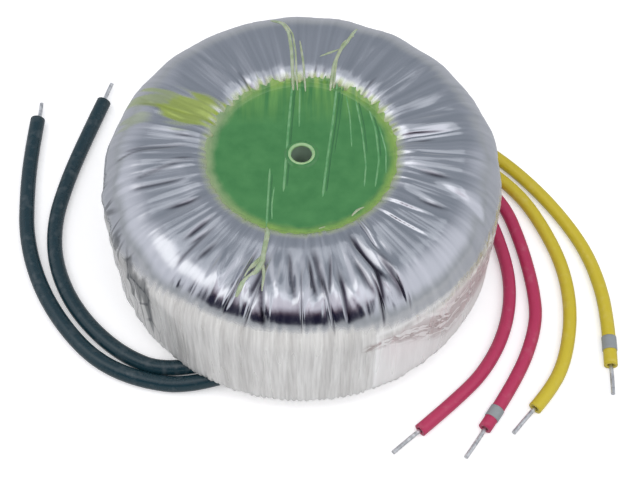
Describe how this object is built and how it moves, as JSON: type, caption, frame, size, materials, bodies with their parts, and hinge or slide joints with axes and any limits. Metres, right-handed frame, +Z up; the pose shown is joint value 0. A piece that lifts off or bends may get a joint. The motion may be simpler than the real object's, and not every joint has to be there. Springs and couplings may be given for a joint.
{
  "type": "toroidal transformer",
  "caption": "Toroidal mains transformer in clear gathered film, with a green resin centre bored for a bolt, two dark and four coloured flying leads.",
  "frame": {"origin": "centre of the underside, on the axis of the fixing bore", "axes": "+Z up along the fixing bore; the dark primary leads leave towards -X and -Y, the coloured secondary leads towards +X and +Y and come round to +X and -Y"},
  "size_m": [0.1592, 0.118, 0.0442],
  "materials": {
    "core_steel": "wound strip, satin",
    "core_cap": "moulded, matt",
    "enamelled_copper": "enamelled wire, gloss",
    "insulation_tape": "polyester tape",
    "polyester_film": "gathered gloss film with a silvery sheen",
    "green_resin": "cast, gloss, thinner and yellower at the edge",
    "label_paper": "blank, matt, under the film",
    "black_sleeving": "satin",
    "red_sleeving": "satin",
    "yellow_sleeving": "satin",
    "tinned_copper": "tinned, bright",
    "marker_band": "satin"
  },
  "bodies": {
    "root": {"core": "core_steel", "core_cap_upper": "core_cap", "core_cap_lower": "core_cap", "primary_winding": "enamelled_copper", "primary_insulation": "insulation_tape", "red_secondary_winding": "enamelled_copper", "yellow_secondary_winding": "enamelled_copper", "film_wrap": "polyester_film", "potting": "green_resin", "rating_label": "label_paper", "red_marker_band": "marker_band", "yellow_marker_band": "marker_band", "primary_sleeve_1": "black_sleeving", "primary_wire_end_1": "tinned_copper", "primary_sleeve_2": "black_sleeving", "primary_wire_end_2": "tinned_copper", "red_sleeve_1": "red_sleeving", "red_wire_end_1": "tinned_copper", "red_sleeve_2": "red_sleeving", "red_wire_end_2": "tinned_copper", "yellow_sleeve_1": "yellow_sleeving", "yellow_wire_end_1": "tinned_copper", "yellow_sleeve_2": "yellow_sleeving", "yellow_wire_end_2": "tinned_copper"}
  },
  "joints": []
}
